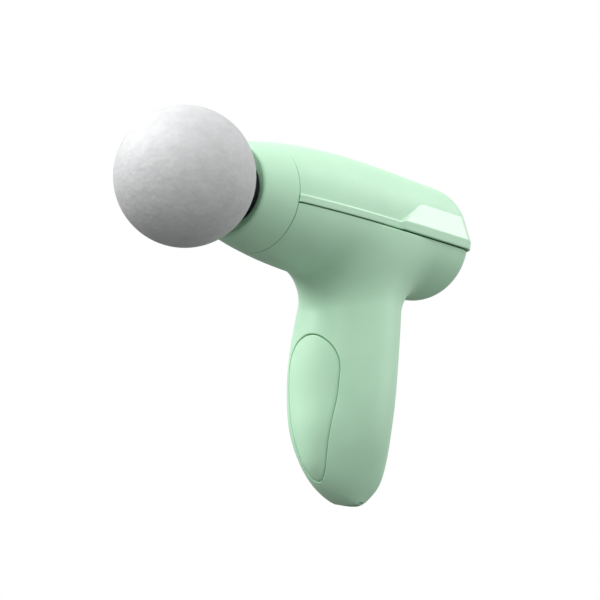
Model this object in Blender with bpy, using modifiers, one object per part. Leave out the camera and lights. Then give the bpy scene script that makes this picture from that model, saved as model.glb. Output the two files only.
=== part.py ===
"""A hand-held massage gun as an assembly of separate pieces.

All dimensions are millimetres in the barrel frame: x runs along the barrel from the joint between nose collar
and shells towards the rear, z is up from the barrel's axis, and the handle points down. ORIGIN is the point of
that frame which becomes the world's origin, the middle of the hand grip. Only place() and world() convert.
"""

import math

import bmesh
import bpy
from mathutils import Matrix, Vector

MM = 0.001
ORIGIN = Vector((55.5, 0.0, -58.0))
GAP = 0.3
WALL = 2.2
STEPS = 48
HELPER_TURN = 0.031  # turns a Boolean's operand a little, so that its corners miss those of the piece

# Barrel: outer radius against x, then the rounded rear end.
BARREL = [(0.25, 20.42), (7, 21.38), (15, 22.25), (25, 22.98), (40, 23.45), (58, 23.3), (76, 22.75), (93.1, 22.2)]
REAR_X = 105.5
REAR_ROUND = 12.4
REAR_FLAT = 9.8

# Parting line between top cover and main housing, with the tongue that covers it inside.
COVER_Z = -2.7
HOUSING_Z = -3.1
TONGUE = 2.6

# Ledge along the cover's lower edge and the wider bevelled shoulder at the rear.
RAIL_OUT = 0.7
RAIL_TOP = -0.2
SHOULDER_OUT = 1.6
SHOULDER_BAND = 0.7
SHOULDER_TOP = 9.5
SHOULDER_X = 54.0
SHOULDER_RAMP = 15.0

# Handle: (z, centre x, half depth along x, half width along y), downwards.
HANDLE = [(-10, 57.2, 18.3, 18.3), (-20, 57.2, 18.4, 18.4), (-28, 57.1, 18.95, 18.95), (-37, 56.5, 19.65, 19.65),
          (-47, 55.8, 20.2, 20.2), (-58, 55.5, 20.4, 20.4), (-68, 55.8, 20.0, 20.0), (-77, 56.5, 19.75, 18.6),
          (-85, 58.0, 19.2, 16.3), (-91, 59.7, 18.2, 13.7), (-96, 61.3, 16.35, 11.1), (-100, 62.7, 13.25, 9.0),
          (-102.6, 63.6, 9.95, 7.6), (-104, 64.1, 7.25, 6.6), (-104.4, 64.2, 6.2, 6.2)]
FOOT_Z = -104.4
FRONT_FILLET = (25.15, -34.98, 12.0)
REAR_FILLET = (86.1, -32.45, 10.0)

# Front grip pad: (z, half width) of its outline.
PAD = [(-44.2, 1.7), (-45.2, 4.7), (-47.4, 8.0), (-50.6, 10.5), (-55.1, 12.0), (-60.9, 12.0), (-66.3, 11.6), (-72.7, 10.5),
       (-77.8, 9.4), (-82.0, 8.3), (-86.3, 7.2), (-89.9, 6.1), (-93.0, 4.9), (-95.5, 3.3), (-97.2, 1.5)]
PAD_DEPTH = 1.3

# Drive: the crank turns about a vertical axis and works a slotted yoke.
CRANK_X = 56.0
THROW = 3.5
PLATE_TOP = -8.9
PLUNGER_R = 8.5
PLUNGER_FRONT = -12.4
SOCKET_R = 6.6
SHANK_R = 6.25
CRANK_BEARING_R = 5.0
SLOT_X = 5.87
SLOT_Y = 9.2

# Head.
BALL_R = 25.0
BALL_X = -38.6

# Battery: three cells in a triangle, axis along the handle.
CELL_R = 7.1
CELL_TOP = -32.2
CELL_LENGTH = 43.0
PACK_X = 56.9
PACK_R = 15.5


def clear_scene():
    for obj in list(bpy.data.objects):
        bpy.data.objects.remove(obj, do_unlink=True)


def material(name, colour, roughness, metallic=0.0):
    """A Principled material in one flat colour."""
    mat = bpy.data.materials.new(name)
    mat.use_nodes = True
    shader = mat.node_tree.nodes["Principled BSDF"]
    shader.inputs["Base Color"].default_value = (*colour, 1.0)
    shader.inputs["Roughness"].default_value = roughness
    shader.inputs["Metallic"].default_value = metallic
    mat.diffuse_color = (*colour, 1.0)
    return mat


LOOKS = {
    "mint": ((0.45, 0.70, 0.52), 0.42, 0.0),
    "foam": ((0.86, 0.87, 0.87), 0.75, 0.0),
    "soft_mint": ((0.44, 0.69, 0.51), 0.6, 0.0),
    "grey_plastic": ((0.30, 0.31, 0.32), 0.5, 0.0),
    "black_plastic": ((0.03, 0.03, 0.03), 0.5, 0.0),
    "white_plastic": ((0.80, 0.80, 0.78), 0.45, 0.0),
    "rubber": ((0.04, 0.04, 0.04), 0.8, 0.0),
    "steel": ((0.60, 0.60, 0.62), 0.3, 1.0),
    "aluminium": ((0.72, 0.73, 0.75), 0.35, 1.0),
    "copper": ((0.80, 0.38, 0.18), 0.35, 1.0),
    "magnet": ((0.12, 0.12, 0.13), 0.45, 0.6),
    "board": ((0.02, 0.16, 0.07), 0.45, 0.0),
    "chip": ((0.03, 0.03, 0.035), 0.4, 0.0),
    "cell": ((0.10, 0.28, 0.55), 0.4, 0.0),
    "red_wire": ((0.60, 0.03, 0.02), 0.5, 0.0),
    "light": ((0.85, 0.90, 0.86), 0.3, 0.0),
}


def world(point):
    return (Vector(point) - ORIGIN) * MM


def place(centre, axis):
    """The matrix that puts local z along the named axis at a point of the barrel frame."""
    turns = {"X": (90, "Y"), "-X": (-90, "Y"), "Y": (-90, "X"), "-Y": (90, "X"), "Z": (0, "Z"), "-Z": (180, "X")}
    angle, about = turns[axis]
    return Matrix.Translation(world(centre)) @ Matrix.Rotation(math.radians(angle), 4, about)


def group(name, hidden=False):
    """The named collection, made on first use."""
    found = bpy.data.collections.get(name)
    if found is None:
        found = bpy.data.collections.new(name)
        found.hide_render = hidden
        bpy.context.scene.collection.children.link(found)
    return found


def link(name, data, look):
    """An object among the pieces with its own material, or among the cutters when look is None."""
    obj = bpy.data.objects.new(name, data)
    if look is None:
        group("cutters", hidden=True).objects.link(obj)
        obj.hide_render = True
        obj.display_type = "WIRE"
        return obj
    group("massage_gun").objects.link(obj)
    obj.data.materials.append(material(name, *LOOKS[look]))
    return obj


def turned(name, profile, centre, axis, look=None, closed=False, steps=STEPS):
    """A solid of revolution. profile is [(radius, height)] with its outer side running downwards."""
    points = [(r * MM, 0.0, h * MM) for r, h in profile]
    edges = [(i, i + 1) for i in range(len(points) - 1)]
    if closed:
        edges.append((len(points) - 1, 0))
    mesh = bpy.data.meshes.new(name)
    mesh.from_pydata(points, edges, [])
    obj = link(name, mesh, look)
    screw = obj.modifiers.new("Turn", "SCREW")
    screw.steps = steps
    screw.render_steps = steps
    screw.use_merge_vertices = True
    screw.merge_threshold = 0.00001
    screw.use_smooth_shade = True
    obj.matrix_world = place(centre, axis)
    if look is None:
        obj.matrix_world = obj.matrix_world @ Matrix.Rotation(HELPER_TURN, 4, "Z")
    return obj


def rod(name, radius, low, high, centre, axis, look=None, steps=32, edge=0.0):
    """A plain cylinder between two heights along its axis, with both edges chamfered."""
    profile = [(0, high), (radius - edge, high), (radius, high - edge), (radius, low + edge), (radius - edge, low), (0, low)]
    if edge == 0.0:
        profile = [(0, high), (radius, high), (radius, low), (0, low)]
    return turned(name, profile, centre, axis, look, steps=steps)


def ring(name, inner, outer, low, high, centre, axis, look=None, steps=32, edge=0.0):
    """A tube between two heights along its axis, with its outer edges chamfered."""
    profile = [(outer - edge, high), (outer, high - edge), (outer, low + edge), (outer - edge, low),
               (inner, low), (inner, high)]
    if edge == 0.0:
        profile = [(outer, high), (outer, low), (inner, low), (inner, high)]
    return turned(name, profile, centre, axis, look, closed=True, steps=steps)


def box(name, low, high, look=None, bevel=0.0):
    """A block between two corners in the barrel frame."""
    centre = (Vector(low) + Vector(high)) / 2
    size = (Vector(high) - Vector(low)) * MM
    form = bmesh.new()
    bmesh.ops.create_cube(form, size=1.0, matrix=Matrix.Diagonal((*size, 1.0)))
    mesh = bpy.data.meshes.new(name)
    form.to_mesh(mesh)
    form.free()
    obj = link(name, mesh, look)
    obj.matrix_world = Matrix.Translation(world(centre))
    if bevel:
        soften(obj, bevel)
    return obj


def soften(obj, width, segments=1, angle=30):
    bevel = obj.modifiers.new("Soften", "BEVEL")
    bevel.width = width * MM
    bevel.segments = segments
    bevel.limit_method = "ANGLE"
    bevel.angle_limit = math.radians(angle)


def prism(name, outline, axis, low, high, look=None, centre=(0, 0, 0)):
    """An outline extruded along an axis. In the outline, X means (y, z), Y means (x, z) and Z means (x, y)."""
    spread = {"X": lambda a, b, t: (t, a, b), "Y": lambda a, b, t: (a, t, b), "Z": lambda a, b, t: (a, b, t)}[axis]
    form = bmesh.new()
    verts = [form.verts.new((Vector(spread(a, b, low)) - Vector(centre)) * MM) for a, b in outline]
    face = form.faces.new(verts)
    raised = bmesh.ops.extrude_face_region(form, geom=[face])["geom"]
    shift = Vector(spread(0, 0, high - low)) * MM
    bmesh.ops.translate(form, vec=shift, verts=[v for v in raised if isinstance(v, bmesh.types.BMVert)])
    bmesh.ops.recalc_face_normals(form, faces=form.faces)
    mesh = bpy.data.meshes.new(name)
    form.to_mesh(mesh)
    form.free()
    obj = link(name, mesh, look)
    obj.matrix_world = Matrix.Translation(world(centre))
    return obj


def loft(name, rings, look=None, smooth=True):
    """A skin through rings of equal count, with flat ends."""
    count = len(rings[0])
    points = [tuple(world(p)) for one in rings for p in one]
    faces = []
    for i in range(len(rings) - 1):
        for j in range(count):
            k = (j + 1) % count
            faces.append((i * count + j, i * count + k, (i + 1) * count + k, (i + 1) * count + j))
    faces.append(tuple(range(count)))
    faces.append(tuple((len(rings) - 1) * count + j for j in range(count)))
    mesh = bpy.data.meshes.new(name)
    mesh.from_pydata(points, [], faces)
    form = bmesh.new()
    form.from_mesh(mesh)
    bmesh.ops.recalc_face_normals(form, faces=form.faces)
    form.to_mesh(mesh)
    form.free()
    mesh.polygons.foreach_set("use_smooth", [smooth] * len(mesh.polygons))
    return link(name, mesh, look)


def combine(obj, other, how):
    step = obj.modifiers.new(how.title(), "BOOLEAN")
    step.operation = how
    step.solver = "EXACT"
    step.object = other
    return obj


def cut(obj, *others):
    for other in others:
        combine(obj, other, "DIFFERENCE")
    return obj


def add(obj, *others):
    for other in others:
        combine(obj, other, "UNION")
    return obj


def keep(obj, other):
    return combine(obj, other, "INTERSECT")


def blend(table, at):
    """Linear reading of [(key, value, ...)] with falling or rising keys."""
    rows = sorted(table)
    if at <= rows[0][0]:
        return rows[0][1:]
    for low, high in zip(rows, rows[1:]):
        if at <= high[0]:
            t = (at - low[0]) / (high[0] - low[0])
            return tuple(a + (b - a) * t for a, b in zip(low[1:], high[1:]))
    return rows[-1][1:]


def barrel_profile(inset, front=0.25):
    """(radius, x) of the barrel's skin moved inwards, from rear centre to front centre."""
    arc = []
    radius = REAR_ROUND - inset
    for i in range(7):
        angle = math.radians(90 - i * 15)
        arc.append((REAR_FLAT + radius * math.cos(angle), BARREL[-1][0] + radius * math.sin(angle)))
    side = [(r - inset, x) for x, r in reversed(BARREL[:-1]) if x > front]
    end = (blend(BARREL, front)[0] - inset, front)
    return [(0.0, REAR_X - inset)] + arc + side + [end, (0.0, front)]


def barrel(name, inset, front=0.25, look=None):
    steps = STEPS if inset == 0.0 else 32
    return turned(name, barrel_profile(inset, front), (0, 0, 0), "X", look, steps=steps)


def slab(name, low, high):
    """A block wide enough to cover the barrel between two heights."""
    return box(name, (-40, -60, low), (140, 60, high))


def handle_row(z):
    """Centre x, half depth and half width of the handle at a height."""
    return blend(HANDLE, z)


def handle_ring(z, inset, flare=False):
    count = 24 if inset >= 2 else 36
    centre, deep, wide = handle_row(z)
    front = centre - deep
    rear = centre + deep
    if flare:
        x, height, r = FRONT_FILLET
        if z > height:
            front = x + math.sqrt(max(r * r - (z - height) ** 2, 0.0))
        x, height, r = REAR_FILLET
        if z > height:
            rear = x - math.sqrt(max(r * r - (z - height) ** 2, 0.0))
    middle = (front + rear) / 2
    along = (rear - front) / 2 - inset
    across = wide - inset
    turn = 2 * math.pi / count
    return [(middle + along * math.cos(i * turn), across * math.sin(i * turn), z) for i in range(count)]


def handle(name, inset, top, bottom, flare=False, look=None):
    heights = [row[0] for row in HANDLE if bottom < row[0] < top]
    if flare:
        heights += [-23.6, -24.2, -25.4, -31.4]
    levels = [top] + sorted(set(heights), reverse=True)[::1 if flare or inset < 2 else 2] + [bottom]
    return loft(name, [handle_ring(z, inset, flare) for z in levels], look)


def shoulder_ring(z, out, start):
    """Plan outline of the rear shoulder at a height, moved outwards from the barrel's skin."""
    half = []
    for i in range(7):
        x = start + (BARREL[-1][0] - start) * i / 6
        half.append((x, math.sqrt(blend(BARREL, x)[0] ** 2 - z * z) + out))
    wide = half[-1][1]
    flat = math.sqrt(REAR_FLAT ** 2 - z * z) + 0.5
    for i in range(1, 7):
        angle = math.radians(i * 15)
        half.append((BARREL[-1][0] + (REAR_ROUND - 0.05) * math.sin(angle), flat + (wide - flat) * math.cos(angle)))
    return [(x, y, z) for x, y in half] + [(x, -y, z) for x, y in reversed(half)]


def rail(name):
    xs = [0.25 + (SHOULDER_X + 6 - 0.25) * i / 14 for i in range(15)]
    half = [(x, blend(BARREL, x)[0] + RAIL_OUT) for x in xs]
    outline = half + [(x, -y) for x, y in reversed(half)]
    return prism(name, outline, "Z", -6.0, RAIL_TOP)


def shoulder(name):
    mid_x = SHOULDER_X + SHOULDER_RAMP * (SHOULDER_BAND - RAIL_TOP) / (SHOULDER_TOP - RAIL_TOP)
    rings = [shoulder_ring(-6.0, SHOULDER_OUT, SHOULDER_X),
             shoulder_ring(RAIL_TOP, SHOULDER_OUT, SHOULDER_X),
             shoulder_ring(SHOULDER_BAND, SHOULDER_OUT, mid_x),
             shoulder_ring(SHOULDER_TOP, -0.12, SHOULDER_X + SHOULDER_RAMP)]
    return loft(name, rings, smooth=False)


def pad_prism(name, grow):
    """The grip pad's outline run along x through the handle's front, moved outwards all round."""
    side = []
    for i, (z, y) in enumerate(PAD):
        z0, y0 = PAD[i - 1] if i else (z, -y)
        z1, y1 = PAD[i + 1] if i + 1 < len(PAD) else (z, -y)
        along = Vector((y1 - y0, z1 - z0)).normalized()
        side.append((y - along.y * grow, z + along.x * grow))
    outline = side + [(-y, z) for y, z in reversed(side)]
    return prism(name, outline, "X", 20.0, 52.0)


def make_top_cover():
    cover = barrel("top_cover", 0.0, look="mint")
    add(cover, rail("cover_rail"), shoulder("cover_shoulder"))
    cut(cover, slab("below_cover", -60, COVER_Z))
    tongue = barrel("cover_tongue", WALL + GAP, front=8.0)
    cut(tongue, slab("below_tongue", -60, COVER_Z - TONGUE), slab("above_tongue", 1.2, 60))
    add(cover, tongue)
    cut(cover, barrel("cover_room", WALL + 1.3, front=8.0))
    upper = barrel("cover_upper_room", WALL, front=-4.0)
    cut(upper, slab("below_upper_room", -60, 1.0))
    cut(cover, upper)
    cut(cover, rod("cover_mouth", 18.2, -5, 8.2, (0, 0, 0), "X", steps=STEPS))
    steps = [(0.0, 115.0), (9.3, 115.0), (9.3, 103.2), (11.9, 103.2), (11.9, 92.0), (0.0, 92.0)]
    cut(cover, turned("cover_bezel_room", steps, (0, 0, 0), "X", steps=28))
    return cover


def boss_places():
    return [(24.5, 10.5), (24.5, -10.5), (87.5, 10.5), (87.5, -10.5)]


def make_main_housing():
    housing = barrel("main_housing", 0.0, look="mint")
    cut(housing, slab("above_housing", HOUSING_Z, 60))
    grip = handle("handle_outside", 0.0, -10.0, FOOT_Z, flare=True)
    recess = pad_prism("pad_recess", 0.0)
    cut(recess, handle("recess_floor", PAD_DEPTH, -20.0, -103.5))
    add(housing, cut(grip, recess))
    cut(housing, barrel("housing_room", WALL, front=-4.0))
    room = handle("handle_inside", WALL, 6.0, -100.4)
    cut(housing, add(room, prism("port_slot", stadium(63.9, 0.0, 1.97, 4.83, count=5), "Z", -110.0, -98.0)))
    boss = [(1.2, -13.1), (2.9, -13.1), (2.9, -16.5), (0.0, -16.5), (0.0, -15.8), (1.2, -15.8)]
    for i, (x, y) in enumerate(boss_places()):
        add(housing, turned(f"boss_{i}", boss, (x, y, 0), "Z", closed=True, steps=16))
    cut(housing, rod("housing_bezel_hole", 9.3, 95, 115, (0, 0, 0), "X", steps=32))
    return housing


def stadium(x, y, half_x, half_y, count=6):
    """Plan outline of a slot, long in y."""
    points = []
    for i in range(count + 1):
        angle = math.pi * i / count
        points.append((x + half_x * math.cos(angle), y + half_y - half_x + half_x * math.sin(angle)))
    for i in range(count + 1):
        angle = math.pi + math.pi * i / count
        points.append((x + half_x * math.cos(angle), y - half_y + half_x + half_x * math.sin(angle)))
    return points


def make_grip_pad():
    pad = handle("front_grip_pad", 0.1, -41.0, -101.5, look="soft_mint")
    keep(pad, pad_prism("pad_outline", -0.35))
    cut(pad, handle("pad_back", PAD_DEPTH - 0.15, -30.0, -102.5))
    return pad


def make_nose_collar():
    outside = [(17.0, -15.6), (17.5, -15.1), (18.4, -11.0), (19.4, -5.8), (20.1, -2.0), (20.25, -0.25)]
    inside = [(18.0, -0.25), (18.0, 6.0), (15.8, 6.0), (15.8, -1.5), (11.6, -1.5), (11.6, -8.8), (15.4, -14.2),
              (16.4, -15.4)]
    profile = list(reversed(outside + inside))
    return turned("nose_collar", profile, (0, 0, 0), "X", "mint", closed=True, steps=40)


def make_dust_seal():
    profile = [(11.35, -2.2), (11.35, -7.6), (10.4, -8.2), (8.75, -7.0), (8.75, -6.2), (9.9, -5.4), (9.9, -3.6),
               (8.75, -3.2), (8.75, -2.2)]
    return turned("dust_seal", profile, (0, 0, 0), "X", "rubber", closed=True, steps=24)


def make_ball():
    """The ball with a flat and a blind hole at its back for the stem."""
    start = math.acos((-16.0 - BALL_X) / BALL_R)
    profile = [(0.0, -36.5), (7.9, -36.5), (7.9, -16.0)]
    count = 13
    for i in range(count + 1):
        angle = start + (math.pi - start) * i / count
        profile.append((BALL_R * math.sin(angle), BALL_X + BALL_R * math.cos(angle)))
    profile[-1] = (0.0, BALL_X - BALL_R)
    return turned("foam_ball", profile, (0, 0, 0), "X", "foam", steps=36)


def make_stem():
    profile = [(0.0, 15.5), (5.2, 15.5), (SHANK_R, 14.5), (SHANK_R, 9.4), (5.1, 9.4), (5.1, 6.8), (SHANK_R, 6.8),
               (SHANK_R, -12.75), (10.1, -12.75), (10.1, -15.5), (7.2, -15.5), (7.2, -22.0), (7.6, -22.8),
               (7.6, -26.0), (7.2, -26.8), (7.2, -36.2), (0.0, -36.2)]
    return turned("head_stem", profile, (0, 0, 0), "X", "grey_plastic", steps=24)


def make_o_ring():
    profile = [(6.42, 8.6), (6.42, 7.6), (5.9, 7.05), (5.4, 7.6), (5.4, 8.6), (5.9, 9.15)]
    return turned("head_o_ring", profile, (0, 0, 0), "X", "rubber", closed=True, steps=24)


def make_plunger():
    """A tube with the head's socket in front and a spigot for the yoke behind."""
    profile = [(0.0, 45.6), (3.0, 45.6), (3.0, 39.6), (8.0, 39.6), (PLUNGER_R, 39.0), (PLUNGER_R, PLUNGER_FRONT),
               (7.0, PLUNGER_FRONT), (SOCKET_R, -12.0), (SOCKET_R, 17.5), (5.0, 18.5), (5.0, 30.0), (0.0, 30.0)]
    tube = turned("plunger", profile, (0, 0, 0), "X", "aluminium", steps=32)
    return cut(tube, rod("plunger_pin_hole", 1.12, -7, 7, (43.0, 0, 0), "Z", steps=16))


def make_yoke():
    plate = box("yoke", (46.3, -13.2, -2.6), (65.7, 13.2, 2.6), "white_plastic", bevel=0.8)
    add(plate, rod("yoke_boss", 4.9, 40.0, 48.0, (0, 0, 0), "X", steps=24))
    slot = stadium(CRANK_X, 0.0, SLOT_X, SLOT_Y, count=8)
    cut(plate, prism("yoke_slot", slot, "Z", -8, 8))
    cut(plate, rod("yoke_bore", 3.1, 39.0, 45.9, (0, 0, 0), "X", steps=32))
    return cut(plate, rod("yoke_pin_hole", 1.12, -9, 9, (43.0, 0, 0), "Z", steps=16))


def make_bush(name, low, high):
    return ring(name, PLUNGER_R + 0.12, 10.4, low, high, (0, 0, 0), "X", "white_plastic", steps=32)


def make_drive_frame():
    """A cast plate with two rings for the plunger's bushes and the motor's seat between them."""
    plate = box("drive_frame", (9.5, -14.2, PLATE_TOP - 2.5), (92.5, 14.2, PLATE_TOP), "aluminium")
    for i, (low, high) in enumerate([(10.0, 21.0), (28.0, 39.0)]):
        cut(plate, box(f"frame_trough_{i}", (low, -6.4, -20), (high, 6.4, 0)))
    cut(plate, rod("frame_hub_hole", 6.4, -20, 0, (CRANK_X, 0, 0), "Z", steps=24))
    cut(plate, box("frame_lead_notch", (71.2, -6.5, -20), (79.0, 6.5, 0)))
    for i, (x, y) in enumerate(boss_places()):
        cut(plate, rod(f"grommet_hole_{i}", 2.75, -20, -5, (x, y, 0), "Z", steps=16))
    for i, (x, y) in enumerate(motor_screw_places()):
        cut(plate, rod(f"motor_hole_{i}", 1.35, -20, -5, (x, y, 0), "Z", steps=12))
        cut(plate, rod(f"motor_head_{i}", 2.3, PLATE_TOP - 1.4, -5, (x, y, 0), "Z", steps=16))
    for i, (low, high) in enumerate([(11.0, 20.0), (29.0, 38.0)]):
        add(plate, ring(f"frame_ring_{i}", 10.6, 13.4, low, high, (0, 0, 0), "X", steps=32))
    return plate


def motor_screw_places():
    return [(CRANK_X + 9.2 * math.cos(a), 9.2 * math.sin(a)) for a in (math.pi / 3, math.pi, -math.pi / 3)]


def screw(name, x, y, head_z, head_r, head_h, shank_r, length):
    """A pan-head screw pointing down, with a slot."""
    profile = [(0, head_h), (head_r * 0.7, head_h), (head_r, head_h * 0.6), (head_r, 0), (shank_r, 0),
               (shank_r, -length), (0, -length)]
    obj = turned(name, profile, (x, y, head_z), "Z", "steel", steps=12)
    return cut(obj, box(f"{name}_slot", (x - 3, y - 0.35, head_z + head_h - 0.5), (x + 3, y + 0.35, head_z + 3)))


def make_frame_mounts():
    for i, (x, y) in enumerate(boss_places(), 1):
        profile = [(4.1, 1.0), (4.1, 0.3), (2.5, 0.3), (2.5, -2.8), (4.1, -2.8), (4.1, -3.9), (1.6, -3.9), (1.6, 1.0)]
        turned(f"frame_grommet_{i}", profile, (x, y, PLATE_TOP), "Z", "rubber", closed=True, steps=12)
        screw(f"frame_screw_{i}", x, y, PLATE_TOP + 1.3, 2.4, 1.6, 1.1, 8.0)


def make_motor():
    """An outer-rotor motor hung under the plate. Heights are counted from the plate's underside."""
    seat = PLATE_TOP - 2.5
    centre = (CRANK_X, 0, seat)
    base = [(12.2, -0.3), (12.2, -1.8), (8.0, -2.0), (4.6, -2.6), (4.6, -14.4), (3.6, -14.4), (3.6, -0.3)]
    flange = turned("motor_base", base, centre, "Z", "aluminium", closed=True, steps=24)
    for i, (x, y) in enumerate(motor_screw_places(), 1):
        cut(flange, rod(f"base_hole_{i}", 1.12, -5, 5, (x, y, seat), "Z", steps=12))
        screw(f"motor_screw_{i}", x, y, PLATE_TOP - 1.2, 2.0, 1.1, 1.0, 3.0)
    make_stator(seat)
    shaft = [(0, 6.0), (1.5, 6.0), (1.5, -17.0), (0, -17.0)]
    turned("motor_shaft", shaft, centre, "Z", "steel", steps=24)
    bell = [(14.5, -3.2), (14.5, -15.2), (13.7, -16.1), (1.62, -16.1), (1.62, -14.9), (13.3, -14.9), (13.3, -3.2)]
    turned("rotor_bell", bell, centre, "Z", "steel", closed=True, steps=36)
    ring("rotor_magnets", 12.15, 13.0, -13.6, -3.8, centre, "Z", "magnet", steps=36)
    ring("motor_bearing_1", 1.62, 3.5, -3.2, -0.6, centre, "Z", "steel", steps=24)
    ring("motor_bearing_2", 1.62, 3.5, -14.2, -11.6, centre, "Z", "steel", steps=24)


def tooth_outline(points):
    """Nine copies of one tooth's [(radius, degrees)] round the motor's axis."""
    outline = []
    for tooth in range(9):
        for radius, side in points:
            angle = math.radians(tooth * 40 + side)
            outline.append((CRANK_X + radius * math.cos(angle), radius * math.sin(angle)))
    return outline


def make_stator(seat):
    """A nine-tooth laminated core, and the winding with room cut for it."""
    tooth = [(7.2, -10), (7.2, -7.5), (10.6, -6.0), (10.8, -16.5), (11.6, -16.5), (11.6, 0.0), (11.6, 16.5), (10.8, 16.5),
             (10.6, 6.0), (7.2, 7.5), (7.2, 10)]
    core = prism("stator_core", tooth_outline(tooth), "Z", seat - 12.4, seat - 4.6, "steel")
    cut(core, rod("stator_bore", 4.75, -40, 10, (CRANK_X, 0, 0), "Z", steps=24))
    winding = ring("stator_winding", 7.9, 10.3, -13.6, -3.4, (CRANK_X, 0, seat), "Z", "copper", steps=36, edge=0.5)
    room = [(7.0, -10.0), (7.45, -10.5), (10.2, -8.2), (12.5, -8.2), (12.5, 8.2), (10.2, 8.2), (7.45, 10.5), (7.0, 10.0)]
    cut(winding, prism("winding_room", tooth_outline(room), "Z", seat - 12.7, seat - 4.3))


def make_crank():
    """A disc with its pin in one piece, cut away on the pin's side so that the rest balances the moving parts."""
    low, high = PLATE_TOP + 0.4, -5.3
    pin = (CRANK_X, THROW, 0)
    disc = ring("crank_disc", 1.62, 11.4, low, high, (CRANK_X, 0, 0), "Z", "steel")
    cut(disc, box("crank_trim", (CRANK_X - 15, 7.4, -12), (CRANK_X + 15, 15, -2.9)))
    for i, way in enumerate((-1, 1)):
        cut(disc, rod(f"crank_scallop_{i}", 5.2, -12, 0, (CRANK_X + way * 12.2, 6.4, 0), "Z", steps=16))
    add(disc, rod("crank_pin", 1.5, high - 0.7, 3.0, pin, "Z", steps=16))
    ring("crank_bearing", 1.6, CRANK_BEARING_R, -2.0, 2.0, pin, "Z", "steel", edge=0.25)
    rod("yoke_pin", 1.0, -4.7, 4.7, (43.0, 0, 0), "Z", "steel", steps=12, edge=0.15)


def cell_places():
    reach = CELL_R * 2 / math.sqrt(3) + 0.12
    return [(PACK_X + reach * math.cos(a), reach * math.sin(a)) for a in (0.0, 2 * math.pi / 3, 4 * math.pi / 3)]


def make_battery():
    top, bottom = CELL_TOP, CELL_TOP - CELL_LENGTH
    for i, (x, y) in enumerate(cell_places(), 1):
        profile = [(0, top), (2.6, top), (2.6, top - 0.8), (6.6, top - 0.8), (CELL_R, top - 1.3), (CELL_R, bottom + 0.4),
                   (6.7, bottom), (0, bottom)]
        turned(f"battery_cell_{i}", profile, (x, y, 0), "Z", "cell", steps=24)
    for name, low, high in (("battery_cap_top", top - 2.6, top + 1.6), ("battery_cap_bottom", bottom - 1.6, bottom + 2.4)):
        cap = rod(name, PACK_R, low, high, (PACK_X, 0, 0), "Z", "black_plastic", steps=32)
        inside = (top - 9, top + 0.3) if name.endswith("top") else (bottom - 0.3, bottom + 9)
        for i, (x, y) in enumerate(cell_places(), 1):
            cut(cap, rod(f"{name}_pocket_{i}", CELL_R + 0.2, *inside, (x, y, 0), "Z", steps=16))
        cut(cap, rod(f"{name}_middle", 2.0, low - 2, high + 2, (PACK_X, 0, 0), "Z", steps=8))


def make_electronics():
    rod("control_pcb", 16.8, 95.4, 96.8, (0, 0, 0), "X", "board", steps=32)
    box("tact_switch", (97.1, -3.0, -3.0), (99.3, 3.0, 3.0), "chip", bevel=0.3)
    for i in range(4):
        angle = math.radians(45 + 90 * i)
        y, z = 7.0 * math.cos(angle), 7.0 * math.sin(angle)
        box(f"led_{i + 1}", (97.0, y - 0.9, z - 0.7), (98.0, y + 0.9, z + 0.7), "light")
    box("controller_chip", (93.9, -3.2, 2.0), (95.15, 3.2, 8.4), "chip", bevel=0.2)
    box("driver_chip", (93.8, -4.4, -7.2), (95.15, 4.4, -1.2), "chip", bevel=0.2)
    rod("bulk_capacitor", 3.1, 86.5, 95.1, (0, 9.5, 6.0), "X", "grey_plastic", steps=24, edge=0.5)
    box("charge_pcb", (60.8, -5.6, -99.0), (61.9, 5.6, -80.5), "board")
    shell = prism("usb_port", stadium(63.9, 0.0, 1.6, 4.45), "Z", -103.9, -96.6, "steel")
    cut(shell, prism("usb_mouth", stadium(63.9, 0.0, 1.3, 4.15), "Z", -108.0, -97.6))
    add(shell, box("usb_tongue", (63.55, -3.3, -102.9), (64.25, 3.3, -97.2)))


def wire(name, points, radius, look):
    """A lead along a smooth path through points of the barrel frame."""
    curve = bpy.data.curves.new(name, "CURVE")
    curve.dimensions = "3D"
    curve.bevel_depth = radius * MM
    curve.bevel_resolution = 1
    curve.use_fill_caps = True
    curve.resolution_u = 5
    spline = curve.splines.new("BEZIER")
    spline.bezier_points.add(len(points) - 1)
    for knot, point in zip(spline.bezier_points, points):
        knot.co = world(point)
        knot.handle_left_type = "AUTO"
        knot.handle_right_type = "AUTO"
    return link(name, curve, look)


def make_leads():
    for name, way, look in (("battery_lead_plus", 1, "red_wire"), ("battery_lead_minus", -1, "black_plastic")):
        path = [(71.9, 3.0, -29.6), (71.8, 3.2, -20), (74.5, 3.6, -10), (82, 5.0, -4.5), (94.9, 7.5, -3.0)]
        wire(name, [(x, way * y, z) for x, y, z in path], 0.6, look)
    path = [(69.3, 0.0, -12.6), (72.5, 0.0, -12.8), (75.4, 0.0, -10.0), (79, 0.0, -6.5), (88, 0, -6.8), (94.9, 0.0, -8.3)]
    wire("motor_lead", path, 0.6, "white_plastic")


def make_rear_control():
    bezel = [(9.0, 105.4), (9.0, 102.9), (11.2, 102.9), (11.2, 100.9), (7.6, 100.9), (7.6, 105.4)]
    turned("rear_bezel", bezel, (0, 0, 0), "X", "grey_plastic", closed=True, steps=32)
    light = [(7.3, 105.2), (7.3, 98.6), (6.6, 98.6), (6.6, 105.2)]
    turned("light_ring", light, (0, 0, 0), "X", "light", closed=True, steps=32)
    button = [(0, 3.0), (4.0, 2.95), (5.9, 2.7), (6.3, 2.3), (6.3, -1.5), (2.2, -1.5), (2.2, -3.05), (0, -3.05)]
    return turned("power_button", button, (103.0, 0, 0), "X", "mint", steps=32)


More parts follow.
